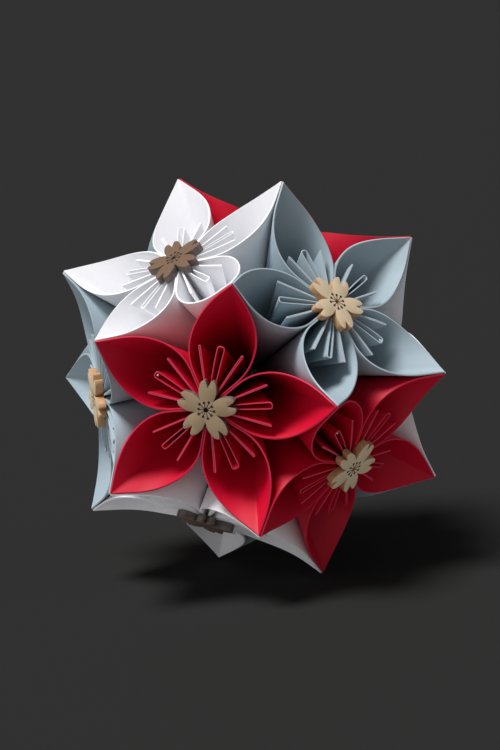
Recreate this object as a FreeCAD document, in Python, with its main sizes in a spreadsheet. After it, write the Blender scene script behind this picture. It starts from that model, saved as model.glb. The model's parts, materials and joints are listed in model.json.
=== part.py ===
import FreeCAD, Part
import math
import os
import Sketcher
from FreeCAD import Placement, Rotation, Vector

# A kusudama: a ball of twelve paper flowers, each of five folded petals.
#
# Every petal is one square of craft paper, folded about its own centre and
# rolled into a scoop. Its creases pass through that centre, so the folded
# sheet stays a cone of paper with its apex there: a wall of two layers that
# runs from the seam out to the tip, and inside it three narrow pleats.
# The twelve flowers point along the face axes of a dodecahedron, and the
# petal tips meet in threes at its twenty corners. A wooden blossom is glued
# over the middle of each flower. A stem pushed into the gap between the two
# lowest flowers carries the ball.
#
# Frame: origin at the ball's centre, +Z up, the gap for the stem at the
# bottom on -Z. X, Y and Z all pass through gaps between two flowers.

doc = FreeCAD.newDocument("kusudama_ball")

# Driving dimensions, in millimetres and degrees
SIZES = [
    ("paper_side", 75.0, "side of the square each petal is folded from"),
    ("wall_thick", 0.4, "petal wall: the front and the back layer of the paper"),
    ("pleat_thick", 0.4, "side pleat: two layers of the paper"),
    ("core_offset", 1.0, "from the ball's centre to the apex of each flower"),
    ("foot_height", 4.5, "from the ball's centre to the pinched foot of each flower"),
    ("glue_film", 0.1, "glue between two petals, and under a wooden blossom"),
    ("tip_angle", 58.0, "half of the angle between a petal's walls at its tip"),
    ("pleat_spread", 19.0, "from a petal's middle pleat to the one on each side"),
    ("loop_width", 1.8, "outer width of the looped middle pleat at its outer end"),
    ("loop_wall", 0.35, "wall of the looped middle pleat"),
    ("centre_thick", 2.0, "thickness of a wooden blossom"),
    ("centre_tips", 15.0, "wooden blossom, across the tips of its lobes"),
    ("centre_shoulders", 13.5, "wooden blossom, across the shoulders of its lobes"),
    ("centre_bellies", 10.4, "wooden blossom, across the widest part of its lobes"),
    ("centre_notches", 11.1, "wooden blossom, across the notches in its lobes"),
    ("centre_waist", 6.4, "wooden blossom, across the valleys between its lobes"),
    ("centre_hole", 1.0, "hole in the middle of a wooden blossom"),
]

sheet = doc.addObject("Spreadsheet::Sheet", "sizes")
for row, (alias, value, meaning) in enumerate(SIZES, start=1):
    sheet.set("A%d" % row, alias)
    sheet.set("B%d" % row, str(value))
    sheet.set("C%d" % row, meaning)
    sheet.setAlias("B%d" % row, alias)
doc.recompute()


def size(alias):
    return float(sheet.get(alias))


# The paper: a square whose centre is the apex of the petal. The seam runs
# from there to the middle of one edge, the tip is a corner of the square,
# and the pleats take the eighth of a turn beside the seam.
HALF_CORNER = math.radians(45.0)
PLEAT_ANGLE = math.radians(22.5)
half_side = size("paper_side") / 2
wall_half = size("wall_thick") / 2
film_half = size("glue_film") / 2
apex_z = size("core_offset")
foot_z = size("foot_height")
rim_z = apex_z + half_side
pleat_reach = half_side * math.tan(PLEAT_ANGLE)

# The dodecahedron that the flowers are set on
PETALS = 5
SECTOR_HALF = math.radians(180.0 / PETALS)
CORNER_ANGLE = math.acos(math.sqrt((5 + 2 * math.sqrt(5)) / 15))
GOLDEN = (1 + math.sqrt(5)) / 2

AXIS_Z = Vector(0, 0, 1)
AXIS_Y = Vector(0, 1, 0)
MIDDLE = (AXIS_Y, 0.0)
FOOT = (AXIS_Z, foot_z)


def turned(angle):
    """A level direction, at an angle round from +X."""
    return Vector(math.cos(angle), math.sin(angle), 0)


def angle_between(a, b):
    return math.atan2(a.cross(b).Length, a.dot(b))


def edge_reach(paper_angle):
    """How far the paper's straight edge is from the apex, at an angle from the seam."""
    return half_side / math.cos(paper_angle)


def plane_at(point, normal):
    """A plane as its unit normal and its distance from the origin."""
    unit = Vector(normal).normalize()
    return unit, unit.dot(point)


def crossing(*planes):
    """The point where three planes meet."""
    (n1, d1), (n2, d2), (n3, d3) = planes
    volume = n1.dot(n2.cross(n3))
    return (n2.cross(n3) * d1 + n3.cross(n1) * d2 + n1.cross(n2) * d3) / volume


def polygon_face(points):
    return Part.Face(Part.makePolygon([*points, points[0]]))


def solid_of(faces):
    """A solid closed by the faces given."""
    skin = Part.makeCompound(faces)
    skin.sewShape(0.0001)
    solid = Part.Solid(skin.Shells[0])
    if solid.Volume < 0:
        solid.reverse()
    return solid


# One petal has its seam beside +Z and its tip towards +X, and XZ halves it
apex = Vector((wall_half + film_half) / math.sin(SECTOR_HALF), 0, apex_z)
tip_half = math.radians(size("tip_angle"))


def tip_point():
    """The tip lies inside a corner of the dodecahedron, half a diagonal from the apex."""
    corner = Vector(math.sin(CORNER_ANGLE), 0, math.cos(CORNER_ANGLE))
    inwards = Vector(-math.cos(CORNER_ANGLE), 0, math.sin(CORNER_ANGLE))
    start = inwards * ((wall_half + film_half) / math.sin(tip_half)) - apex
    along = start.dot(corner)
    half_diagonal = edge_reach(HALF_CORNER)
    reach = math.sqrt(along**2 + half_diagonal**2 - start.dot(start)) - along
    return apex + start + corner * reach


tip = tip_point()
tip_ray = (tip - apex).normalize()

# The wall leaves the seam flat against the next petal's wall and comes flat
# to the tip. Between the two it is rolled, in narrow strips about one cone.
seam_normal = AXIS_Z.cross(turned(SECTOR_HALF))
to_seam = (AXIS_Z - tip_ray * AXIS_Z.dot(tip_ray)).normalize()
from_tip = to_seam * math.cos(tip_half) + AXIS_Y * math.sin(tip_half)
tip_normal = from_tip.cross(tip_ray)
ROLL_STRIPS = 5


def roll_creases(cone_angle):
    """The creases of the roll: rulings of the cone that touches both flats."""
    ridge = tip_normal.cross(seam_normal).normalize()
    spread = math.sin(cone_angle) / (1 + seam_normal.dot(tip_normal))
    lean = (seam_normal + tip_normal) * spread
    axis = ridge * math.sqrt(1 - lean.dot(lean)) - lean
    first = axis + seam_normal * math.sin(cone_angle)
    last = axis + tip_normal * math.sin(cone_angle)
    across = (first - axis * first.dot(axis)).normalize()
    side = axis.cross(across)
    sweep = math.atan2(last.dot(side), last.dot(across))
    creases = []
    for step in range(ROLL_STRIPS + 1):
        turn = sweep * step / ROLL_STRIPS
        spoke = across * math.cos(turn) + side * math.sin(turn)
        creases.append(axis * math.cos(cone_angle) + spoke * math.sin(cone_angle))
    return creases


def strip_angles(creases):
    """The angle at the apex of every strip of the half wall, from the seam to the tip."""
    first, last = creases[0], creases[-1]
    angles = [math.atan2(first.dot(turned(SECTOR_HALF)), first.z)]
    angles += [angle_between(a, b) for a, b in zip(creases, creases[1:])]
    angles.append(math.atan2(last.dot(from_tip), last.dot(tip_ray)))
    return angles


def fitted_creases():
    """The roll that takes up just the paper there is between the seam and the tip."""
    tight, loose = math.radians(2.0), math.radians(30.0)
    for _ in range(60):
        middle = (tight + loose) / 2
        if sum(strip_angles(roll_creases(middle))) > HALF_CORNER:
            tight = middle
        else:
            loose = middle
    return roll_creases(tight)


def half_wall():
    """Half of the petal's wall: its strips, each of paper that is flat across."""
    creases = fitted_creases()
    rays = [AXIS_Z, *creases, tip_ray]
    paper_angle = 0.0
    rim = [apex + AXIS_Z * half_side]
    for ray, angle in zip(rays[1:], strip_angles(creases)):
        paper_angle += angle
        rim.append(apex + ray * edge_reach(paper_angle))
    normals = [seam_normal]
    for near, far in zip(rays[1:-2], rays[2:-1]):
        normals.append(near.cross(far).normalize())
    normals.append(tip_normal)

    # Neighbouring strips are mitred, and the two halves meet on the middle plane
    mitres = [MIDDLE]
    for ray, before, after in zip(rays[1:-1], normals, normals[1:]):
        mitres.append(plane_at(apex, ray.cross(before + after)))
    mitres.append(MIDDLE)

    # The cut edge of each strip takes up the mitred corner of the one before
    cuts = [plane_at(rim[0], AXIS_Z)]
    for j in range(1, len(normals)):
        corner = cuts[-1][0].cross(mitres[j][0])
        cuts.append(plane_at(rim[j], (rim[j + 1] - rim[j]).cross(corner)))

    faces = []
    edges = {}
    for side in (1, -1):
        walls = [plane_at(apex + n * (side * wall_half), n) for n in normals]
        feet = [crossing(walls[max(j - 1, 0)], mitres[j], FOOT) for j in range(len(rays))]
        tops = [
            crossing(walls[max(j - 1, 0)], mitres[j], cuts[max(j - 1, 0)])
            for j in range(len(rays))
        ]
        edges[side] = (feet, tops)
        for j in range(len(normals)):
            faces.append(polygon_face([feet[j], feet[j + 1], tops[j + 1], tops[j]]))
    for row in (0, 1):
        out, inner = edges[1][row], edges[-1][row]
        for j in range(len(normals)):
            faces.append(polygon_face([out[j], out[j + 1], inner[j + 1], inner[j]]))
    return faces


def petal_wall():
    """The rolled wall of a petal, open at the top and pinched at the foot."""
    half = half_wall()
    return solid_of(half + [face.mirror(Vector(), AXIS_Y) for face in half])


def pleat_edge(inset):
    """The plane of the pleats' outer crease, which leans out from the apex."""
    lean = Vector(math.cos(PLEAT_ANGLE), 0, -math.sin(PLEAT_ANGLE))
    return lean, lean.dot(apex) - inset


def foot_reach():
    return crossing(pleat_edge(0), MIDDLE, FOOT).x


def side_pleat():
    """A pleat pressed flat, as it stands before it is turned to its side."""
    start = apex.x + wall_half
    outline = [
        Vector(start, 0, foot_z),
        Vector(foot_reach(), 0, foot_z),
        Vector(apex.x + pleat_reach, 0, rim_z),
        Vector(start, 0, rim_z),
    ]
    thick = size("pleat_thick")
    pleat = polygon_face(outline).extrude(AXIS_Y * thick)
    pleat.translate(AXIS_Y * (-thick / 2))
    return pleat


def looped_pleat():
    """The middle pleat: a loop of paper, closed at its outer crease and open at the top."""
    half_width = size("loop_width") / 2
    splay = math.atan2(half_width, pleat_reach)
    thick = size("loop_wall")
    top = (AXIS_Z, rim_z)

    def plates(inset):
        return [plane_at(apex - n * inset, n) for n in (
            Vector(-math.sin(splay), math.cos(splay), 0),
            Vector(-math.sin(splay), -math.cos(splay), 0),
        )]

    def crease_corners(inset, level):
        left, right = plates(inset)
        return [crossing(p, pleat_edge(inset), level) for p in (left, right)]

    low_seam = Vector(apex.x, 0, foot_z)
    high_seam = Vector(apex.x, 0, rim_z)
    low = crease_corners(0, FOOT)
    high = crease_corners(0, top)
    body = solid_of([
        polygon_face([low_seam, low[0], low[1]]),
        polygon_face([high_seam, high[0], high[1]]),
        polygon_face([low_seam, low[0], high[0], high_seam]),
        polygon_face([low_seam, low[1], high[1], high_seam]),
        polygon_face([low[0], low[1], high[1], high[0]]),
    ])
    above = (AXIS_Z, rim_z + thick)
    left, right = plates(thick)
    root = crossing(left, right, above)
    bottom = crossing(left, right, pleat_edge(thick))
    mouth = crease_corners(thick, above)
    hollow = solid_of([
        polygon_face([root, mouth[0], mouth[1]]),
        polygon_face([root, mouth[0], bottom]),
        polygon_face([root, mouth[1], bottom]),
        polygon_face([mouth[0], mouth[1], bottom]),
    ])
    return body.cut(hollow)


def petal():
    """One folded petal: its wall and its three pleats, all of one sheet."""
    spread = size("pleat_spread")
    pleats = [looped_pleat()]
    for turn in (-spread, spread):
        pleat = side_pleat()
        pleat.rotate(apex, AXIS_Z, turn)
        pleats.append(pleat)
    return petal_wall().multiFuse(pleats).removeSplitter().Solids[0]


# Where each flower points, by the way round the ball that it faces, and how
# far its wooden blossom is turned from its petals
FLOWERS = [
    ("upper_front", (0, -1, GOLDEN), 10.0),
    ("upper_back", (0, 1, GOLDEN), -20.0),
    ("upper_right", (GOLDEN, 0, 1), 27.0),
    ("upper_left", (-GOLDEN, 0, 1), 14.0),
    ("front_right", (1, -GOLDEN, 0), 7.0),
    ("front_left", (-1, -GOLDEN, 0), 18.0),
    ("back_right", (1, GOLDEN, 0), -9.0),
    ("back_left", (-1, GOLDEN, 0), 31.0),
    ("lower_right", (GOLDEN, 0, -1), 12.0),
    ("lower_left", (-GOLDEN, 0, -1), -4.0),
    ("lower_front", (0, -1, -GOLDEN), 22.0),
    ("lower_back", (0, 1, -GOLDEN), -15.0),
]


def facing(direction):
    """The turn that takes +Z to a flower's direction and +X to one of its petals."""
    axis = Vector(*direction).normalize()
    for corner in (Vector(x, y, z) for x in (1, -1) for y in (1, -1) for z in (1, -1)):
        unit = Vector(corner).normalize()
        if angle_between(unit, axis) < CORNER_ANGLE + 0.01:
            towards = (unit - axis * unit.dot(axis)).normalize()
            return Rotation(towards, axis.cross(towards), axis, "ZXY")


one_petal = petal()
one_flower = Part.makeCompound([
    one_petal.rotated(Vector(), AXIS_Z, 360.0 * k / PETALS) for k in range(PETALS)
])

nodes = []
for name, direction, turn in FLOWERS:
    petals = doc.addObject("Part::Feature", name + "_petals")
    petals.Shape = one_flower
    petals.Placement = Placement(Vector(), facing(direction))
    nodes.append(petals)


# A wooden blossom: five lobes, each with a notch, cut out of thin board.
# Each corner of its outline is a diameter and the angle from a lobe's middle.
OUTLINE = [
    ("centre_notches", 0.0),
    ("centre_tips", 13.5),
    ("centre_shoulders", 19.5),
    ("centre_bellies", 27.5),
    ("centre_waist", 36.0),
]


def outline_corners():
    """The corners of the blossom, once round: alias of the diameter, and angle."""
    corners = []
    for lobe in range(PETALS):
        middle = 360.0 * lobe / PETALS
        falling = [(alias, middle - angle) for alias, angle in reversed(OUTLINE)]
        rising = [(alias, middle + angle) for alias, angle in OUTLINE[1:-1]]
        corners += falling + rising
    return corners


def draw_blossom(sketch):
    """Draw the outline, with every corner held at its distance and angle."""
    corners = outline_corners()
    points = [turned(math.radians(a)) * (size(alias) / 2) for alias, a in corners]
    for start, end in zip(points, points[1:] + points[:1]):
        sketch.addGeometry(Part.LineSegment(start, end), False)
    for index in range(len(corners)):
        sketch.addConstraint(Sketcher.Constraint("Coincident", index - 1, 2, index, 1)
                             if index else
                             Sketcher.Constraint("Coincident", len(corners) - 1, 2, 0, 1))
    for index, (alias, angle) in enumerate(corners):
        spoke = (math.cos(math.radians(angle)), math.sin(math.radians(angle)))
        for kind, share in (("DistanceX", spoke[0]), ("DistanceY", spoke[1])):
            held = sketch.addConstraint(
                Sketcher.Constraint(kind, -1, 1, index, 1, size(alias) / 2 * share))
            sketch.setExpression("Constraints[%d]" % held, "sizes.%s / 2 * %.9f" % (alias, share))


def wooden_blossom(name):
    body = doc.addObject("PartDesign::Body", name)
    base = next(f for f in body.Origin.OriginFeatures if f.Role == "XY_Plane")
    outline = body.newObject("Sketcher::SketchObject", name + "_outline")
    outline.AttachmentSupport = [(base, "")]
    outline.MapMode = "FlatFace"
    draw_blossom(outline)
    board = body.newObject("PartDesign::Pad", name + "_board")
    board.Profile = outline
    board.setExpression("Length", "sizes.centre_thick")
    ring = body.newObject("Sketcher::SketchObject", name + "_ring")
    ring.AttachmentSupport = [(base, "")]
    ring.MapMode = "FlatFace"
    ring.addGeometry(Part.Circle(Vector(), AXIS_Z, size("centre_hole") / 2), False)
    ring.addConstraint(Sketcher.Constraint("Coincident", 0, 3, -1, 1))
    ring.addConstraint(Sketcher.Constraint("Radius", 0, size("centre_hole") / 2))
    ring.setExpression("Constraints[1]", "sizes.centre_hole / 2")
    hole = body.newObject("PartDesign::Pocket", name + "_hole")
    hole.Profile = ring
    hole.Type = "ThroughAll"
    hole.Reversed = True
    body.Tip = hole
    return body


for name, direction, turn in FLOWERS:
    blossom = wooden_blossom(name + "_centre")
    turned_to_face = facing(direction)
    on_pleats = turned_to_face.multVec(AXIS_Z * (rim_z + size("glue_film")))
    blossom.Placement = Placement(on_pleats, turned_to_face * Rotation(AXIS_Z, turn))
    nodes.append(blossom)

doc.recompute()
for item in doc.Objects:
    if "Invalid" in item.State or "Error" in item.State:
        raise RuntimeError(item.Name + " did not build")
os.makedirs("parts", exist_ok=True)
for node in nodes:
    if node.Shape.isNull() or not node.Shape.isValid():
        raise RuntimeError(node.Name + " is not sound")
    node.Shape.exportStep("parts/" + node.Name + ".step")
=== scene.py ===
import json
import math

import bpy
from mathutils import Matrix, Vector


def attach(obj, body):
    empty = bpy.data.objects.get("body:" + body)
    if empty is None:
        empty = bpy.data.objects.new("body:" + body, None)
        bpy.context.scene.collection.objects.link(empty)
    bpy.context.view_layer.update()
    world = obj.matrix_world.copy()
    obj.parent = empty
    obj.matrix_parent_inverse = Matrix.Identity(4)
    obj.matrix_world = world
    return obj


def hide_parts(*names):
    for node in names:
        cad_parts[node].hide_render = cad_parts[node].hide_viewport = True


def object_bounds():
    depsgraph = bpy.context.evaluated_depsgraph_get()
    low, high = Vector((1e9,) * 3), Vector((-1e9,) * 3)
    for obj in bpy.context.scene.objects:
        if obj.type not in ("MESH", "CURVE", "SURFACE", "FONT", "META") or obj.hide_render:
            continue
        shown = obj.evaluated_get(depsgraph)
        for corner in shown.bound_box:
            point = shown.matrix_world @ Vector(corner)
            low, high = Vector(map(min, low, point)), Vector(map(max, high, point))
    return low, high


bl_info = {
    "name": "Kusudama flower ball",
    "version": (1, 0, 0),
    "blender": (4, 5, 0),
    "location": "View3D > Sidebar > Kusudama",
    "description": "Folds the paper flowers of a kusudama, cuts its wooden blossoms and lights it",
    "category": "Add Mesh",
}

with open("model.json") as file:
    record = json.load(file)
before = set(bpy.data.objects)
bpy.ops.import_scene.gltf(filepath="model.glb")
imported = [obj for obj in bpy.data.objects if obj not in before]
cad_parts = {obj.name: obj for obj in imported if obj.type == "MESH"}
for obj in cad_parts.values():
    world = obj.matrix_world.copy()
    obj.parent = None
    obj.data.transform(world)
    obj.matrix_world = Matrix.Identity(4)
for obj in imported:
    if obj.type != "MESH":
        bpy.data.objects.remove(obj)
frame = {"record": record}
CAD_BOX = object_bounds()
RECORD = frame["record"]

# The ball: twelve flowers on the faces of a dodecahedron, five petals in each
PETALS = 5
SECTOR_HALF = math.pi / PETALS
GOLDEN = (1 + math.sqrt(5)) / 2
CORNER_ANGLE = math.acos(math.sqrt((5 + 2 * math.sqrt(5)) / 15))
AXIS_Z = Vector((0, 0, 1))
AXIS_Y = Vector((0, 1, 0))

# The paper: a square whose centre is the apex of the petal. Its wall takes up
# 45 degrees on each side of the tip, and each pleat 22.5 degrees.
HALF_CORNER = math.radians(45)
PLEAT_ANGLE = math.radians(22.5)

# Material slots of a petal
FACE, WALL_EDGE, PLEAT_EDGE = 0, 1, 2

# Where each flower faces, and how far its wooden blossom is turned, in degrees
FLOWERS = [
    ("upper_front", (0, -1, GOLDEN), 10),
    ("upper_back", (0, 1, GOLDEN), -20),
    ("upper_right", (GOLDEN, 0, 1), 27),
    ("upper_left", (-GOLDEN, 0, 1), 14),
    ("front_right", (1, -GOLDEN, 0), 7),
    ("front_left", (-1, -GOLDEN, 0), 18),
    ("back_right", (1, GOLDEN, 0), -9),
    ("back_left", (-1, GOLDEN, 0), 31),
    ("lower_right", (GOLDEN, 0, -1), 12),
    ("lower_left", (-GOLDEN, 0, -1), -4),
    ("lower_front", (0, -1, -GOLDEN), 22),
    ("lower_back", (0, 1, -GOLDEN), -15),
]
SLOT_OF_NODE = {part["node"]: part["material_slot"] for part in RECORD["subparts"]}
COLOUR_OF_SLOT = {entry["slot"]: (*entry["base_color"], 1) for entry in RECORD["materials"]}


def length(name, description, default):
    """A size in metres for the sidebar."""
    return bpy.props.FloatProperty(
        name=name, description=description, default=default, min=0, precision=5, unit="LENGTH")


def turn(name, description, degrees):
    """An angle for the sidebar."""
    return bpy.props.FloatProperty(
        name=name, description=description, default=math.radians(degrees), subtype="ANGLE")


def share(name, description, default):
    """A share from 0 to 1 for the sidebar."""
    return bpy.props.FloatProperty(
        name=name, description=description, default=default, min=0, max=1, subtype="FACTOR")


def colour(name, description, default):
    """A colour for the sidebar."""
    return bpy.props.FloatVectorProperty(
        name=name, description=description, default=default, size=4, min=0, max=1, subtype="COLOR")


class PaperSizes(bpy.types.PropertyGroup):
    paper_side: length("Paper", "Side of the square each petal is folded from", 0.075)
    wall_thick: length("Wall", "Both layers of paper in a petal's wall", 0.0004)
    pleat_thick: length("Pleat", "The layer of paper that the pleats are folded of", 0.00024)
    glue_film: length("Glue film", "Glue between two petals and under a blossom", 0.0001)
    core_offset: length("Core", "From the ball's centre to the apex of a flower", 0.001)
    foot_height: length("Foot", "From the ball's centre to the foot of a flower", 0.0045)
    tip_angle: turn("Tip", "Half of the angle between a petal's walls at its tip", 58)
    pleat_spread: turn("Pleat spread", "From the middle pleat to the one on each side", 19)
    middle_loop: length("Middle loop", "Outer width of the middle pleat", 0.0018)
    side_loop: length("Side loops", "Outer width of the pleats beside it, pressed flat", 0.00055)
    pleat_root: length("Pleat root", "From the seam to the valleys between the pleats", 0.0013)
    unevenness: length("Unevenness", "How far folding by hand moves the paper", 0.0014)
    wave: length("Wave", "Distance over which the unevenness changes", 0.028)


class BlossomSizes(bpy.types.PropertyGroup):
    thick: length("Board", "Thickness of the board", 0.002)
    tips: length("Tips", "Across the tips of the lobes", 0.015)
    shoulders: length("Shoulders", "Across the shoulders of the lobes", 0.0134)
    bellies: length("Bellies", "Across the widest part of the lobes", 0.0101)
    notches: length("Notches", "Across the notches in the lobes", 0.0110)
    waist: length("Waist", "Across the valleys between the lobes", 0.0056)
    hole: length("Hole", "Hole in the middle", 0.0012)
    stamen_ring: length("Stamen ring", "Across the ring of burnt stamen dots", 0.0042)
    stamen_dot: length("Stamen dot", "One burnt dot", 0.00074)
    stamen_line: length("Stamen line", "Width of the burnt line to each dot", 0.00022)
    stamen_depth: length("Stamen depth", "Depth of the burnt marks", 0.00022)
    rounding: length("Rounding", "Worn rounding of the cut edges", 0.00012)


class GlueSizes(bpy.types.PropertyGroup):
    bead: length("Bead", "Bead of dried glue where three petal tips meet", 0.0007)
    drop: length("Drop", "Drop of glue in the outer end of a middle pleat", 0.0005)
    sink: length("Sink", "How far a bead lies below the petal tips", 0.0009)


class Finishes(bpy.types.PropertyGroup):
    grey_blue_depth: share(
        "Grey-blue", "How bright the grey-blue dye came out beside its plain colour", 0.86)
    # The cut edges of the walls and pleats take a lighter shade of their paper: a painted highlight for
    # the light those thin edges catch.
    cut_edge_painted_highlight: share("Cut edge", "How much brighter a wall's cut edge is than its face", 0.2)
    pleat_edge_painted_highlight: share("Pleat edge", "How much brighter a pleat's cut edge is", 0.36)
    # Pale, opaque glue colour: partly the dried glue itself, partly a painted glint where clear glue
    # catches the light.
    glue: colour("Glue", "Dried craft glue", (0.86, 0.84, 0.80, 1))
    scorch_pale: colour("Scorched pale wood", "Laser-cut sides of bare wood", (0.70, 0.34, 0.10, 1))
    scorch_dark: colour("Scorched dark wood", "Laser-cut sides of stained wood", (0.09, 0.045, 0.025, 1))
    burn: colour("Burnt mark", "Engraved stamen marks", (0.05, 0.022, 0.012, 1))


class StudioSettings(bpy.types.PropertyGroup):
    distance: length("Camera distance", "From the ball's centre to the camera", 0.754)
    seen_width: length("Width in view", "Width that the picture takes in at the ball", 0.128)
    floor_gap: length("Floor gap", "From the lowest petal tips down to the floor", 0.0002)
    floor_side: length("Floor", "Side of the floor", 40)
    floor_colour: colour("Floor colour", "Plain dark floor", (0.020, 0.021, 0.020, 1))
    floor_bounce: colour("Floor bounce", "The floor as it lights the ball", (0.30, 0.30, 0.30, 1))
    sky_colour: colour("Backdrop", "What shows behind the floor", (0.014, 0.015, 0.014, 1))
    key_strength: bpy.props.FloatProperty(
        name="Key light", description="Irradiance of the key light", default=3.5, min=0)
    key_softness: turn("Key softness", "Angle that the key light fills", 22)
    front_strength: bpy.props.FloatProperty(
        name="Front light", description="Irradiance of the light beside the camera",
        default=0.7, min=0)
    front_softness: turn("Front softness", "Angle that the front light fills", 70)
    fill_strength: bpy.props.FloatProperty(
        name="Fill light", description="Light from all round", default=0.2, min=0)


def turned(angle):
    """A level direction, at an angle round from +X."""
    return Vector((math.cos(angle), math.sin(angle), 0))


def facing(direction):
    """The turn that takes +Z to a flower's direction and +X to one of its petals."""
    axis = Vector(direction).normalized()
    for corner in [(x, y, z) for x in (1, -1) for y in (1, -1) for z in (1, -1)]:
        unit = Vector(corner).normalized()
        if unit.angle(axis) < CORNER_ANGLE + 0.01:
            towards = (unit - axis * unit.dot(axis)).normalized()
            return Matrix((towards, axis.cross(towards), axis)).transposed().to_4x4()


class PetalFold:
    """How one square folds into a petal with its seam beside +Z and its tip towards +X."""

    def __init__(self, sizes):
        self.half_side = sizes.paper_side / 2
        self.half_gap = (sizes.wall_thick + sizes.glue_film) / 2
        self.apex = Vector((self.half_gap / math.sin(SECTOR_HALF), 0, sizes.core_offset))
        self.rim_z = sizes.core_offset + self.half_side
        self.foot_share = (sizes.foot_height - sizes.core_offset) / self.half_side
        self.pleat_reach = self.half_side * math.tan(PLEAT_ANGLE)
        self.tip_half = sizes.tip_angle
        self.tip_ray = (self.tip_point() - self.apex).normalized()
        self.seam_normal = AXIS_Z.cross(turned(SECTOR_HALF))
        to_seam = (AXIS_Z - self.tip_ray * AXIS_Z.dot(self.tip_ray)).normalized()
        self.from_tip = to_seam * math.cos(self.tip_half) + AXIS_Y * math.sin(self.tip_half)
        self.tip_normal = self.from_tip.cross(self.tip_ray)
        self.fit_roll()

    def tip_point(self):
        """The tip lies inside a corner of the dodecahedron, half a diagonal from the apex."""
        corner = Vector((math.sin(CORNER_ANGLE), 0, math.cos(CORNER_ANGLE)))
        inwards = Vector((-math.cos(CORNER_ANGLE), 0, math.sin(CORNER_ANGLE)))
        start = inwards * (self.half_gap / math.sin(self.tip_half)) - self.apex
        along = start.dot(corner)
        half_diagonal = self.half_side / math.cos(HALF_CORNER)
        reach = math.sqrt(along**2 + half_diagonal**2 - start.length_squared) - along
        return self.apex + start + corner * reach

    def roll(self, cone_angle):
        """Rolls the wall about the cone that touches both of its flats."""
        across_flats = self.seam_normal + self.tip_normal
        lean = across_flats * (math.sin(cone_angle) / (1 + self.seam_normal.dot(self.tip_normal)))
        ridge = self.tip_normal.cross(self.seam_normal).normalized()
        self.cone_angle = cone_angle
        self.axis = ridge * math.sqrt(1 - lean.length_squared) - lean
        first = self.axis + self.seam_normal * math.sin(cone_angle)
        last = self.axis + self.tip_normal * math.sin(cone_angle)
        self.across = (first - self.axis * first.dot(self.axis)).normalized()
        self.side = self.across.cross(self.axis)
        sweep = math.atan2(last.dot(self.side), last.dot(self.across))
        self.seam_flat = math.atan2(first.dot(turned(SECTOR_HALF)), first.z)
        self.rolled = sweep * math.sin(cone_angle)
        self.tip_flat = math.atan2(last.dot(self.from_tip), last.dot(self.tip_ray))

    def fit_roll(self):
        """Finds the cone whose wall uses just the paper there is."""
        tight, loose = math.radians(2), math.radians(30)
        for _ in range(50):
            self.roll((tight + loose) / 2)
            if self.seam_flat + self.rolled + self.tip_flat > HALF_CORNER:
                tight = self.cone_angle
            else:
                loose = self.cone_angle

    def ray(self, paper_angle):
        """Which way the wall runs from the apex, at an angle of paper from the seam."""
        if paper_angle < self.seam_flat:
            return AXIS_Z * math.cos(paper_angle) + turned(SECTOR_HALF) * math.sin(paper_angle)
        if paper_angle < self.seam_flat + self.rolled:
            swept = (paper_angle - self.seam_flat) / math.sin(self.cone_angle)
            spoke = self.across * math.cos(swept) + self.side * math.sin(swept)
            return self.axis * math.cos(self.cone_angle) + spoke * math.sin(self.cone_angle)
        left = HALF_CORNER - paper_angle
        return self.tip_ray * math.cos(left) + self.from_tip * math.sin(left)

    def rim(self, seam_steps=3, roll_steps=20, tip_steps=3):
        """The wall's cut edge: from the seam round the tip and back to the seam."""
        angles = [self.seam_flat * k / seam_steps for k in range(seam_steps)]
        angles += [self.seam_flat + self.rolled * k / roll_steps for k in range(roll_steps)]
        angles += [HALF_CORNER - self.tip_flat * (1 - k / tip_steps) for k in range(tip_steps + 1)]
        half = [self.apex + self.ray(a) * (self.half_side / math.cos(a)) for a in angles]
        return half + [Vector((p.x, -p.y, p.z)) for p in reversed(half[:-1])]

    def pleat_line(self, sizes, spread, middle_loop, side_loop, end_steps=8):
        """The top edge of the pleats: three hairpins of paper, one beside the other."""
        seam = Vector((self.apex.x, 0, self.rim_z))
        line = [seam + turned(spread * 1.45) * sizes.pleat_root]
        for place, width in ((1, side_loop), (0, middle_loop), (-1, side_loop)):
            out = turned(spread * place)
            sideways = turned(spread * place + math.pi / 2)
            half_width = (width - sizes.pleat_thick) / 2
            end = self.pleat_reach - sizes.pleat_thick / 2 - half_width
            swell = [(0.3, 0.5), (0.55, 0.78), (0.8, 0.95)]
            for along, wide in swell:
                line.append(seam + out * (end * along) + sideways * (half_width * wide))
            for k in range(end_steps + 1):
                around = math.pi * (0.5 - k / end_steps)
                across = math.copysign(abs(math.sin(around)) ** 0.7, around)
                line.append(seam + out * (end + half_width * math.cos(around) ** 0.7)
                            + sideways * (half_width * across))
            for along, wide in reversed(swell):
                line.append(seam + out * (end * along) - sideways * (half_width * wide))
            line.append(seam + turned(spread * (place - 0.5 if place > -1 else -1.45))
                        * sizes.pleat_root)
        return line


def sizes_of(context, group):
    return getattr(context.scene, "kusudama_" + group)


def deselect():
    bpy.ops.object.select_all(action="DESELECT")


def make_active(piece):
    deselect()
    piece.select_set(True)
    bpy.context.view_layer.objects.active = piece


def apply_modifiers(piece):
    make_active(piece)
    for modifier in list(piece.modifiers):
        bpy.ops.object.modifier_apply(modifier=modifier.name)


def start_wire(points):
    """A new object in edit mode: a wire drawn through the points, pulled out one by one."""
    deselect()
    bpy.ops.mesh.primitive_plane_add(size=0.001, location=points[0])
    bpy.ops.object.mode_set(mode="EDIT")
    bpy.ops.mesh.select_mode(type="VERT")
    bpy.ops.mesh.merge(type="CENTER")
    pull_wire(points)
    return bpy.context.object


def pull_wire(points):
    for near, far in zip(points, points[1:]):
        bpy.ops.mesh.extrude_region_move(TRANSFORM_OT_translate={"value": far - near})
    bpy.ops.mesh.select_all(action="SELECT")
    bpy.ops.mesh.remove_doubles(threshold=0.000002)


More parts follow.
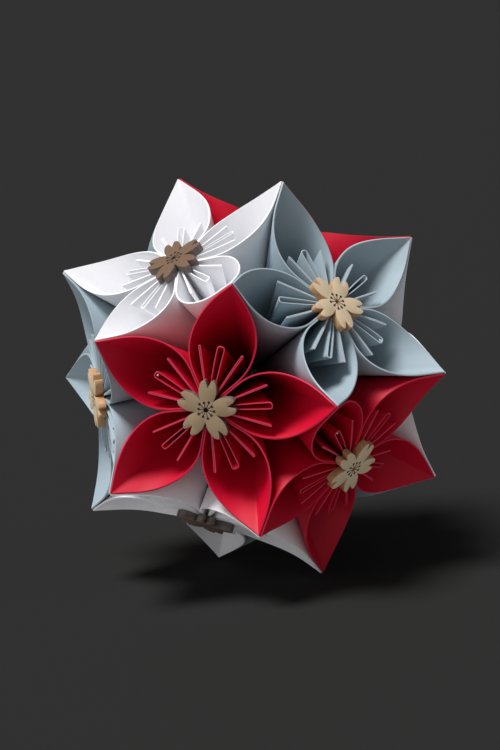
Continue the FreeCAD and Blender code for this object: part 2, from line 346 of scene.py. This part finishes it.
def pull_to_apex(apex, shares):
    """Pulls the selected wire towards the apex, one row of paper after the other."""
    for near, far in zip([1, *shares], shares):
        bpy.ops.mesh.extrude_region_move()
        bpy.ops.transform.resize(value=[far / near] * 3, center_override=apex)


def add_blanks(piece, count):
    """Slots to be filled after the last join, which would merge empty ones."""
    for k in range(count):
        name = f"blank {k}"
        piece.data.materials.append(bpy.data.materials.get(name) or bpy.data.materials.new(name))


def finish_sheet(name, thickness, rounding, edge_slot):
    """Gives the sheet its thickness, and soft cut edges in a slot of their own."""
    bpy.ops.mesh.select_all(action="SELECT")
    bpy.ops.mesh.normals_make_consistent(inside=False)
    bpy.ops.object.mode_set(mode="OBJECT")
    bpy.ops.object.transform_apply(location=True, rotation=True, scale=True)
    piece = bpy.context.object
    piece.name = name
    add_blanks(piece, 3)
    paper = piece.modifiers.new("paper", "SOLIDIFY")
    paper.thickness = thickness
    paper.offset = 0
    paper.use_even_offset = True
    paper.material_offset_rim = edge_slot
    edge = piece.modifiers.new("cut edge", "BEVEL")
    edge.width = rounding
    edge.segments = 2
    edge.limit_method = "ANGLE"
    edge.angle_limit = math.radians(50)
    edge.use_clamp_overlap = True
    apply_modifiers(piece)
    return piece


def fold_wall(fold, sizes):
    """The petal's wall: its cut edge, pulled down to the pinched foot."""
    start_wire(fold.rim())
    pull_to_apex(fold.apex, [0.8, 0.55, 0.3, fold.foot_share])
    return finish_sheet("wall", sizes.wall_thick, sizes.wall_thick / 5, WALL_EDGE)


def fold_pleats(fold, sizes, spread_share, loop_share):
    """The three pleats inside a petal, all of one strip of paper."""
    start_wire(fold.pleat_line(
        sizes, sizes.pleat_spread * spread_share,
        sizes.middle_loop * loop_share, sizes.side_loop * loop_share))
    pull_to_apex(fold.apex, [0.75, 0.45, 0.15])
    return finish_sheet("pleats", sizes.pleat_thick, sizes.pleat_thick / 5, PLEAT_EDGE)


def join(pieces, name):
    """Joins the pieces into the first of them."""
    make_active(pieces[0])
    for piece in pieces:
        piece.select_set(True)
    bpy.ops.object.join()
    pieces[0].name = name
    return pieces[0]


def copy_of(piece, name, matrix):
    """A copy with a mesh of its own, with its place in the mesh."""
    copy = piece.copy()
    copy.data = piece.data.copy()
    copy.name = name
    copy.data.transform(matrix)
    bpy.context.collection.objects.link(copy)
    return copy


def remove(*pieces):
    for piece in pieces:
        bpy.data.meshes.remove(piece.data)


def uneven_by_hand(piece, sizes):
    """Moves the paper a little, as folding by hand does, and all neighbours alike."""
    texture = bpy.data.textures.get("unevenness")
    if texture is None:
        texture = bpy.data.textures.new("unevenness", "CLOUDS")
        texture.cloud_type = "COLOR"
        texture.noise_depth = 1
        texture.noise_scale = sizes.wave
    shift = piece.modifiers.new("unevenness", "DISPLACE")
    shift.texture = texture
    shift.texture_coords = "LOCAL"
    shift.direction = "RGB_TO_XYZ"
    shift.strength = sizes.unevenness
    shift.mid_level = 0.5
    apply_modifiers(piece)


def smooth(piece, degrees):
    make_active(piece)
    bpy.ops.object.shade_smooth_by_angle(angle=math.radians(degrees))


def settle(piece, node):
    """Ties a finished piece to the ball, in place of its plain node."""
    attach(piece, "root")
    if node:
        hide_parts(node)


# Sockets of the Mix node when it mixes colours
MIX_FACTOR, MIX_A, MIX_B, MIX_RESULT = 0, 6, 7, 2


def put(tree, kind, sockets=None, **settings):
    """Adds a node, and links or sets its sockets."""
    node = tree.nodes.new(kind)
    for name, value in settings.items():
        setattr(node, name, value)
    for name, value in (sockets or {}).items():
        if isinstance(value, bpy.types.NodeSocket):
            tree.links.new(value, node.inputs[name])
        else:
            node.inputs[name].default_value = value
    return node


def new_group(name, inputs, outputs):
    """An empty node group with its sockets: its tree, its input node and its output node."""
    tree = bpy.data.node_groups.new(name, "ShaderNodeTree")
    for kind, sockets in (("INPUT", inputs), ("OUTPUT", outputs)):
        for label, socket_type in sockets:
            tree.interface.new_socket(label, in_out=kind, socket_type="NodeSocket" + socket_type)
    return tree, put(tree, "NodeGroupInput"), put(tree, "NodeGroupOutput")


def paper_fibres():
    """Felted paper: cloudy colour over centimetres, and fine fibres."""
    name = "paper_fibres"
    if name in bpy.data.node_groups:
        return bpy.data.node_groups[name]
    tree, given, out = new_group(
        name,
        [("Colour", "Color"), ("Mottle", "Float")],
        [("Colour", "Color"), ("Roughness", "Float"), ("Height", "Float")])
    place = put(tree, "ShaderNodeTexCoord").outputs["Object"]
    clouds = put(tree, "ShaderNodeTexNoise", {"Vector": place, "Scale": 110, "Detail": 3})
    fibres = put(tree, "ShaderNodeTexNoise",
                 {"Vector": place, "Scale": 1500, "Detail": 5, "Roughness": 0.65, "Distortion": 1.2})
    both = put(tree, "ShaderNodeMath",
               {0: clouds.outputs["Fac"], 1: fibres.outputs["Fac"]}, operation="ADD")
    middle = put(tree, "ShaderNodeMath", {0: both.outputs[0], 1: 1.0}, operation="SUBTRACT")
    swing = put(tree, "ShaderNodeMath",
                {0: middle.outputs[0], 1: given.outputs["Mottle"]}, operation="MULTIPLY")
    value = put(tree, "ShaderNodeMath", {0: swing.outputs[0], 1: 1.0}, operation="ADD")
    toned = put(tree, "ShaderNodeHueSaturation",
                {"Hue": 0.501, "Saturation": 1.02, "Color": given.outputs["Colour"],
                 "Value": value.outputs[0]})
    rough = put(tree, "ShaderNodeMapRange",
                {"Value": fibres.outputs["Fac"], "To Min": 0.42, "To Max": 0.6})
    tree.links.new(toned.outputs["Color"], out.inputs["Colour"])
    tree.links.new(rough.outputs["Result"], out.inputs["Roughness"])
    tree.links.new(fibres.outputs["Fac"], out.inputs["Height"])
    return tree


def wood_grain():
    """Fine straight grain along one way of the board, with darker growth bands."""
    name = "wood_grain"
    if name in bpy.data.node_groups:
        return bpy.data.node_groups[name]
    tree, given, out = new_group(
        name,
        [("Light", "Color"), ("Dark", "Color")],
        [("Colour", "Color"), ("Roughness", "Float"), ("Height", "Float")])
    place = put(tree, "ShaderNodeTexCoord").outputs["UV"]
    along = put(tree, "ShaderNodeMapping", {"Vector": place, "Scale": (2.5, 34, 1)})
    pores = put(tree, "ShaderNodeTexNoise",
                {"Vector": along.outputs[0], "Scale": 1, "Detail": 6, "Roughness": 0.6})
    wide = put(tree, "ShaderNodeMapping", {"Vector": place, "Scale": (0.8, 5, 1)})
    bands = put(tree, "ShaderNodeTexWave",
                {"Vector": wide.outputs[0], "Scale": 0.7, "Distortion": 3, "Detail": 2},
                bands_direction="Y")
    mask = put(tree, "ShaderNodeMath",
               {0: pores.outputs["Fac"], 1: bands.outputs["Fac"]}, operation="MULTIPLY")
    mask = put(tree, "ShaderNodeMapRange", {"Value": mask.outputs[0], "From Min": 0.05, "From Max": 0.5})
    mix = put(tree, "ShaderNodeMix",
              {MIX_FACTOR: mask.outputs[0], MIX_A: given.outputs["Dark"],
               MIX_B: given.outputs["Light"]}, data_type="RGBA")
    rough = put(tree, "ShaderNodeMapRange",
                {"Value": pores.outputs["Fac"], "To Min": 0.6, "To Max": 0.85})
    tree.links.new(mix.outputs[MIX_RESULT], out.inputs["Colour"])
    tree.links.new(rough.outputs["Result"], out.inputs["Roughness"])
    tree.links.new(pores.outputs["Fac"], out.inputs["Height"])
    return tree


def new_material(name):
    """A material that keeps only its shader: the material, its tree and its shader."""
    material = bpy.data.materials.new(name)
    material.use_nodes = True
    tree = material.node_tree
    return material, tree, tree.nodes["Principled BSDF"]


def dress(tree, shader, group, relief):
    """Feeds the shader from a group that gives colour, roughness and height."""
    bump = put(tree, "ShaderNodeBump",
               {"Height": group.outputs["Height"], "Strength": 1, "Distance": relief})
    tree.links.new(group.outputs["Colour"], shader.inputs["Base Color"])
    tree.links.new(group.outputs["Roughness"], shader.inputs["Roughness"])
    tree.links.new(bump.outputs["Normal"], shader.inputs["Normal"])


def lighter(tone, light):
    """A colour taken part of the way to white."""
    return tuple(part + (1 - part) * light for part in tone[:3]) + (1,)


def darker(tone, keep):
    return tuple(part * keep for part in tone[:3]) + (1,)


def lifted(tone, light):
    """A colour made brighter that keeps its hue."""
    return tuple(part ** (1 - light) for part in tone[:3]) + (1,)


def paper_material(name, tone, mottle, relief):
    if name in bpy.data.materials:
        return bpy.data.materials[name]
    material, tree, shader = new_material(name)
    group = put(tree, "ShaderNodeGroup", node_tree=paper_fibres())
    group.inputs["Colour"].default_value = tone
    group.inputs["Mottle"].default_value = mottle
    dress(tree, shader, group, relief)
    shader.inputs["Specular IOR Level"].default_value = 0.3
    return material


def wood_material(slot):
    name = slot + "_face"
    if name in bpy.data.materials:
        return bpy.data.materials[name]
    material, tree, shader = new_material(name)
    tone = COLOUR_OF_SLOT[slot]
    group = put(tree, "ShaderNodeGroup", node_tree=wood_grain())
    group.inputs["Light"].default_value = lighter(tone, 0.08)
    group.inputs["Dark"].default_value = darker(tone, 0.8)
    dress(tree, shader, group, 0.00006)
    shader.inputs["Specular IOR Level"].default_value = 0.25
    return material


def scorched_material(slot, tone):
    """The sides that the laser cut, browned in streaks through the board."""
    name = slot + "_scorched"
    if name in bpy.data.materials:
        return bpy.data.materials[name]
    material, tree, shader = new_material(name)
    place = put(tree, "ShaderNodeTexCoord").outputs["Object"]
    streaks = put(tree, "ShaderNodeTexNoise", {"Vector": place, "Scale": 700, "Detail": 3})
    mix = put(tree, "ShaderNodeMix",
              {MIX_FACTOR: streaks.outputs["Fac"], MIX_A: darker(tone, 0.55),
               MIX_B: lighter(tone, 0.18)}, data_type="RGBA")
    bump = put(tree, "ShaderNodeBump", {"Height": streaks.outputs["Fac"], "Distance": 0.00008})
    tree.links.new(mix.outputs[MIX_RESULT], shader.inputs["Base Color"])
    tree.links.new(bump.outputs["Normal"], shader.inputs["Normal"])
    shader.inputs["Roughness"].default_value = 0.7
    return material


def burnt_material(tone):
    name = "burnt_mark"
    if name in bpy.data.materials:
        return bpy.data.materials[name]
    material, tree, shader = new_material(name)
    place = put(tree, "ShaderNodeTexCoord").outputs["Object"]
    char = put(tree, "ShaderNodeTexNoise", {"Vector": place, "Scale": 2500, "Detail": 2})
    mix = put(tree, "ShaderNodeMix",
              {MIX_FACTOR: char.outputs["Fac"], MIX_A: darker(tone, 0.5),
               MIX_B: lighter(tone, 0.12)}, data_type="RGBA")
    tree.links.new(mix.outputs[MIX_RESULT], shader.inputs["Base Color"])
    shader.inputs["Roughness"].default_value = 0.9
    return material


def glue_and_glint_material(tone):
    # The beads' pale colour stands for the glue and also paints the glint of clear glue.
    material, tree, shader = new_material("dried_glue")
    place = put(tree, "ShaderNodeTexCoord").outputs["Object"]
    lumps = put(tree, "ShaderNodeTexNoise", {"Vector": place, "Scale": 1800, "Detail": 2})
    mix = put(tree, "ShaderNodeMix",
              {MIX_FACTOR: lumps.outputs["Fac"], MIX_A: darker(tone, 0.85), MIX_B: tone},
              data_type="RGBA")
    bump = put(tree, "ShaderNodeBump", {"Height": lumps.outputs["Fac"], "Distance": 0.00005})
    tree.links.new(mix.outputs[MIX_RESULT], shader.inputs["Base Color"])
    tree.links.new(bump.outputs["Normal"], shader.inputs["Normal"])
    shader.inputs["Roughness"].default_value = 0.25
    shader.inputs["Coat Weight"].default_value = 0.3
    return material


class KUSUDAMA_OT_fold_flowers(bpy.types.Operator):
    """Fold the petals of the twelve flowers and set them round the ball"""

    bl_idname = "kusudama.fold_flowers"
    bl_label = "Fold the flowers"

    # How much each kind of petal spreads its pleats and opens their loops
    KINDS = [(1.0, 1.0), (0.9, 0.84), (1.1, 1.12)]

    def execute(self, context):
        sizes = sizes_of(context, "paper")
        finishes = sizes_of(context, "finishes")
        fold = PetalFold(sizes)
        models = []
        for spread_share, loop_share in self.KINDS:
            wall = fold_wall(fold, sizes)
            pleats = fold_pleats(fold, sizes, spread_share, loop_share)
            models.append(join([wall, pleats], "petal"))
        for index, (name, direction, _) in enumerate(FLOWERS):
            petals = []
            for k in range(PETALS):
                model = models[(2 * index + k) % len(models)]
                spin = Matrix.Rotation(2 * SECTOR_HALF * k, 4, "Z")
                petals.append(copy_of(model, "petal", facing(direction) @ spin))
            flower = join(petals, name + "_flower")
            node = name + "_petals"
            slot = SLOT_OF_NODE[node]
            tone = COLOUR_OF_SLOT[slot]
            if slot == "grey_blue_paper":
                tone = darker(tone, finishes.grey_blue_depth)
            flower.data.materials[FACE] = paper_material(slot + "_face", tone, 0.09, 0.00003)
            # The face keeps the paper's colour. The cut edges of wall and pleats are lightened as a
            # painted highlight.
            flower.data.materials[WALL_EDGE] = paper_material(
                slot + "_cut_edge", lifted(tone, finishes.cut_edge_painted_highlight), 0.16, 0.00004)
            flower.data.materials[PLEAT_EDGE] = paper_material(
                slot + "_pleat_edge", lifted(tone, finishes.pleat_edge_painted_highlight), 0.16, 0.00004)
            uneven_by_hand(flower, sizes)
            smooth(flower, 34)
            settle(flower, node)
        remove(*models)
        return {"FINISHED"}


def smooth_run(corners, steps):
    """A smooth curve through the corners, steps points to each stretch."""
    run = []
    for k in range(len(corners) - 1):
        before = corners[max(k - 1, 0)]
        start, end = corners[k], corners[k + 1]
        after = corners[min(k + 2, len(corners) - 1)]
        for j in range(steps):
            s = j / steps
            run.append((start * 2 + (end - before) * s
                        + (before * 2 - start * 5 + end * 4 - after) * s**2
                        + (start * 3 - before - end * 3 + after) * s**3) / 2)
    return run + [corners[-1]]


def blossom_outline(sizes, steps=3):
    """Once round the blossom: each lobe runs valley, belly, tip, notch and back."""
    corners = [(sizes.notches, 0), (sizes.tips * 0.965, 5.8), (sizes.tips, 9), (sizes.tips * 0.97, 13),
               (sizes.shoulders, 18), (sizes.bellies, 27), (sizes.waist * 1.32, 32.5), (sizes.waist, 36)]
    half = smooth_run([turned(math.radians(a)) * (across / 2) for across, a in corners], steps)
    lobe = [Vector((p.x, -p.y, 0)) for p in reversed(half)] + half[1:-1]
    outline = []
    for k in range(PETALS):
        spin = Matrix.Rotation(2 * SECTOR_HALF * k, 3, "Z")
        outline += [spin @ p for p in lobe]
    return outline + [outline[0]]


def stamen_cutter(sizes):
    """What the laser burns away: a line and a dot for each of ten stamens."""
    dots = []
    for k in range(2 * PETALS):
        around = turned(SECTOR_HALF * (k + 0.5))
        radius = sizes.stamen_ring / 2 * (1.0 if k % 2 else 0.86)
        top = AXIS_Z * sizes.thick
        deselect()
        bpy.ops.mesh.primitive_cylinder_add(
            vertices=10, radius=sizes.stamen_dot / 2, depth=2 * sizes.stamen_depth,
            location=around * radius + top)
        dots.append(bpy.context.object)
        bpy.ops.mesh.primitive_cube_add(
            size=1, location=around * (radius / 2) + top, rotation=(0, 0, SECTOR_HALF * (k + 0.5)),
            scale=(radius, sizes.stamen_line, sizes.stamen_depth))
        dots.append(bpy.context.object)
    cutter = join(dots, "stamens")
    bpy.ops.object.transform_apply(location=True, rotation=True, scale=True)
    add_blanks(cutter, 3)
    for face in cutter.data.polygons:
        face.material_index = 2
    return cutter


def cut_blossom(sizes):
    """The wooden blossom, lying on XY: face in slot 0, cut sides in 1, burnt marks in 2."""
    start_wire(blossom_outline(sizes))
    bpy.ops.mesh.primitive_circle_add(vertices=20, radius=sizes.hole / 2)
    bpy.ops.mesh.select_all(action="SELECT")
    bpy.ops.mesh.fill()
    bpy.ops.mesh.select_all(action="SELECT")
    bpy.ops.mesh.normals_make_consistent(inside=False)
    bpy.ops.object.mode_set(mode="OBJECT")
    bpy.ops.object.transform_apply(location=True, rotation=True, scale=True)
    blossom = bpy.context.object
    if blossom.data.polygons[0].normal.z < 0:
        blossom.data.flip_normals()
    add_blanks(blossom, 3)
    board = blossom.modifiers.new("board", "SOLIDIFY")
    board.thickness = sizes.thick
    board.offset = -1
    board.material_offset_rim = 1
    worn = blossom.modifiers.new("worn edges", "BEVEL")
    worn.width = sizes.rounding
    worn.segments = 2
    worn.limit_method = "ANGLE"
    worn.angle_limit = math.radians(60)
    apply_modifiers(blossom)
    blossom.data.transform(Matrix.Translation(AXIS_Z * sizes.thick))
    cutter = stamen_cutter(sizes)
    marks = blossom.modifiers.new("stamens", "BOOLEAN")
    marks.operation = "DIFFERENCE"
    marks.object = cutter
    marks.solver = "EXACT"
    marks.use_self = True
    marks.material_mode = "INDEX"
    apply_modifiers(blossom)
    remove(cutter)
    grain = blossom.data.uv_layers.new(name="grain")
    for corner in blossom.data.loops:
        place = blossom.data.vertices[corner.vertex_index].co
        grain.data[corner.index].uv = place.xy / sizes.tips
    return blossom


class KUSUDAMA_OT_cut_blossoms(bpy.types.Operator):
    """Cut the wooden blossoms and glue one over the middle of each flower"""

    bl_idname = "kusudama.cut_blossoms"
    bl_label = "Cut the blossoms"

    def execute(self, context):
        paper = sizes_of(context, "paper")
        sizes = sizes_of(context, "blossom")
        finishes = sizes_of(context, "finishes")
        model = cut_blossom(sizes)
        on_pleats = paper.core_offset + paper.paper_side / 2 + paper.glue_film
        for name, direction, degrees in FLOWERS:
            place = (facing(direction) @ Matrix.Translation(AXIS_Z * on_pleats)
                     @ Matrix.Rotation(math.radians(degrees), 4, "Z"))
            blossom = copy_of(model, name + "_blossom", place)
            node = name + "_centre"
            slot = SLOT_OF_NODE[node]
            scorch = finishes.scorch_pale if slot == "pale_wood" else finishes.scorch_dark
            blossom.data.materials[0] = wood_material(slot)
            blossom.data.materials[1] = scorched_material(slot, tuple(scorch))
            blossom.data.materials[2] = burnt_material(tuple(finishes.burn))
            uneven_by_hand(blossom, paper)
            smooth(blossom, 40)
            settle(blossom, node)
        remove(model)
        return {"FINISHED"}


def glue_bead(name, diameter, matrix):
    """A small uneven bead of dried glue, flattened where it lies."""
    deselect()
    bpy.ops.mesh.primitive_ico_sphere_add(subdivisions=2, radius=diameter / 2)
    bpy.ops.object.mode_set(mode="EDIT")
    bpy.ops.mesh.select_all(action="SELECT")
    bpy.ops.transform.resize(value=(1, 1.15, 0.7), center_override=(0, 0, 0))
    bpy.ops.object.mode_set(mode="OBJECT")
    bead = bpy.context.object
    bead.name = name
    bead.data.transform(matrix)
    return bead


class KUSUDAMA_OT_dot_glue(bpy.types.Operator):
    """Put the beads of dried glue where three petal tips meet and in some pleats"""

    bl_idname = "kusudama.dot_glue"
    bl_label = "Dot the glue"

    def execute(self, context):
        paper = sizes_of(context, "paper")
        sizes = sizes_of(context, "glue")
        material = glue_and_glint_material(tuple(sizes_of(context, "finishes").glue))
        fold = PetalFold(paper)
        tip_radius = fold.tip_point().length
        corners = []
        drops = []
        for index, (_, direction, _) in enumerate(FLOWERS):
            for k in range(PETALS):
                spin = facing(direction) @ Matrix.Rotation(2 * SECTOR_HALF * k, 4, "Z")
                towards = (spin @ Vector((math.sin(CORNER_ANGLE), 0, math.cos(CORNER_ANGLE))))
                if all((towards - other).length > 0.1 for other in corners):
                    corners.append(towards)
                if (3 * index + 2 * k) % 7 == 0:
                    reach = fold.pleat_reach - paper.middle_loop / 2
                    height = fold.rim_z - sizes.drop / 3
                    place = spin @ Matrix.Translation((fold.apex.x + reach, 0, height))
                    drops.append(glue_bead("drop", sizes.drop, place))
        beads = []
        for towards in corners:
            upright = AXIS_Z.rotation_difference(towards).to_matrix().to_4x4()
            place = Matrix.Translation(towards * (tip_radius - sizes.sink)) @ upright
            beads.append(glue_bead("bead", sizes.bead, place))
        for pieces, name in ((beads, "glue_beads"), (drops, "glue_drops")):
            glue = join(pieces, name)
            glue.data.materials.append(material)
            uneven_by_hand(glue, paper)
            smooth(glue, 180)
            settle(glue, None)
        return {"FINISHED"}


# The photograph's view of the ball: where it is seen from, and which way is up there
VIEW_FROM = Vector((0.724, -0.662, 0.193)).normalized()
VIEW_UP = Vector((-0.070, 0.207, 0.976))
# Where the lights stand in that view: to the right, up and back towards the camera
KEY_PLACE = (-0.42, 0.95, 0.4)
FRONT_PLACE = (-0.8, -0.15, 0.75)
SENSOR = 36.0
PICTURE_WIDTH, PICTURE_HEIGHT = 500, 750


def seen_directly(tree):
    """A mask: 1 where the camera looks, also by a mirror or through glass, and 0 for light."""
    rays = put(tree, "ShaderNodeLightPath")
    seen = put(tree, "ShaderNodeMath",
               {0: rays.outputs["Is Camera Ray"], 1: rays.outputs["Is Glossy Ray"]},
               operation="MAXIMUM")
    return put(tree, "ShaderNodeMath",
               {0: seen.outputs[0], 1: rays.outputs["Is Transmission Ray"]}, operation="MAXIMUM")


def floor_material(settings):
    """A dark floor that still sends some light back up to the ball."""
    material, tree, shader = new_material("floor")
    mix = put(tree, "ShaderNodeMix",
              {MIX_FACTOR: seen_directly(tree).outputs[0], MIX_A: settings.floor_bounce,
               MIX_B: settings.floor_colour}, data_type="RGBA")
    tree.links.new(mix.outputs[MIX_RESULT], shader.inputs["Base Color"])
    shader.inputs["Roughness"].default_value = 0.9
    shader.inputs["Specular IOR Level"].default_value = 0.1
    return material


def light_world(settings):
    """An even sky that lights the ball softly and shows as the dark backdrop."""
    world = bpy.data.worlds.new("studio")
    bpy.context.scene.world = world
    world.use_nodes = True
    tree = world.node_tree
    background = tree.nodes["Background"]
    seen = seen_directly(tree)
    strength = put(tree, "ShaderNodeMapRange",
                   {"Value": seen.outputs[0], "To Min": settings.fill_strength, "To Max": 1.0})
    mix = put(tree, "ShaderNodeMix",
              {MIX_FACTOR: seen.outputs[0], MIX_A: (1, 1, 1, 1), MIX_B: settings.sky_colour},
              data_type="RGBA")
    tree.links.new(mix.outputs[MIX_RESULT], background.inputs["Color"])
    tree.links.new(strength.outputs["Result"], background.inputs["Strength"])


class KUSUDAMA_OT_set_studio(bpy.types.Operator):
    """Lay the floor, light the ball and set up the camera"""

    bl_idname = "kusudama.set_studio"
    bl_label = "Set up the studio"

    def execute(self, context):
        settings = sizes_of(context, "studio")
        deselect()
        floor_z = CAD_BOX[0].z - settings.floor_gap
        bpy.ops.mesh.primitive_plane_add(size=settings.floor_side, location=(0, 0, floor_z))
        floor = context.object
        floor.name = "floor"
        floor.data.materials.append(floor_material(settings))

        right = VIEW_UP.cross(VIEW_FROM).normalized()
        up = VIEW_FROM.cross(right)
        bpy.ops.object.camera_add()
        camera = context.object
        turn_to_view = Matrix((right, up, VIEW_FROM)).transposed().to_4x4()
        camera.matrix_world = Matrix.Translation(VIEW_FROM * settings.distance) @ turn_to_view
        seen_height = settings.seen_width * PICTURE_HEIGHT / PICTURE_WIDTH
        camera.data.sensor_width = SENSOR
        camera.data.lens = SENSOR * settings.distance / seen_height
        camera.data.clip_start = 0.01
        camera.data.clip_end = 100
        context.scene.camera = camera

        for name, place, strength, softness in (
                ("key", KEY_PLACE, settings.key_strength, settings.key_softness),
                ("front", FRONT_PLACE, settings.front_strength, settings.front_softness)):
            bpy.ops.object.light_add(type="SUN")
            light = context.object
            light.name = name
            towards = right * place[0] + up * place[1] + VIEW_FROM * place[2]
            light.rotation_euler = towards.to_track_quat("Z", "Y").to_euler()
            light.data.energy = strength
            light.data.angle = softness
        light_world(settings)
        context.scene.view_settings.view_transform = "Standard"
        return {"FINISHED"}


class KUSUDAMA_PT_sidebar(bpy.types.Panel):
    bl_label = "Kusudama"
    bl_idname = "KUSUDAMA_PT_sidebar"
    bl_space_type = "VIEW_3D"
    bl_region_type = "UI"
    bl_category = "Kusudama"

    def draw(self, context):
        for group in GROUPS:
            box = self.layout.box()
            sizes = sizes_of(context, group)
            for name in sizes.__annotations__:
                box.prop(sizes, name)
        for operator in OPERATORS:
            self.layout.operator(operator.bl_idname)


GROUPS = {
    "paper": PaperSizes,
    "blossom": BlossomSizes,
    "glue": GlueSizes,
    "finishes": Finishes,
    "studio": StudioSettings,
}
OPERATORS = [
    KUSUDAMA_OT_fold_flowers,
    KUSUDAMA_OT_cut_blossoms,
    KUSUDAMA_OT_dot_glue,
    KUSUDAMA_OT_set_studio,
]


def register():
    for cls in [*GROUPS.values(), *OPERATORS, KUSUDAMA_PT_sidebar]:
        bpy.utils.register_class(cls)
    for name, group in GROUPS.items():
        setattr(bpy.types.Scene, "kusudama_" + name, bpy.props.PointerProperty(type=group))


def unregister():
    for name in GROUPS:
        delattr(bpy.types.Scene, "kusudama_" + name)
    for cls in reversed([*GROUPS.values(), *OPERATORS, KUSUDAMA_PT_sidebar]):
        bpy.utils.unregister_class(cls)


def main():
    register()
    deselect()
    bpy.ops.kusudama.fold_flowers()
    bpy.ops.kusudama.cut_blossoms()
    bpy.ops.kusudama.dot_glue()
    bpy.ops.kusudama.set_studio()


if __name__ == "__main__":
    main()
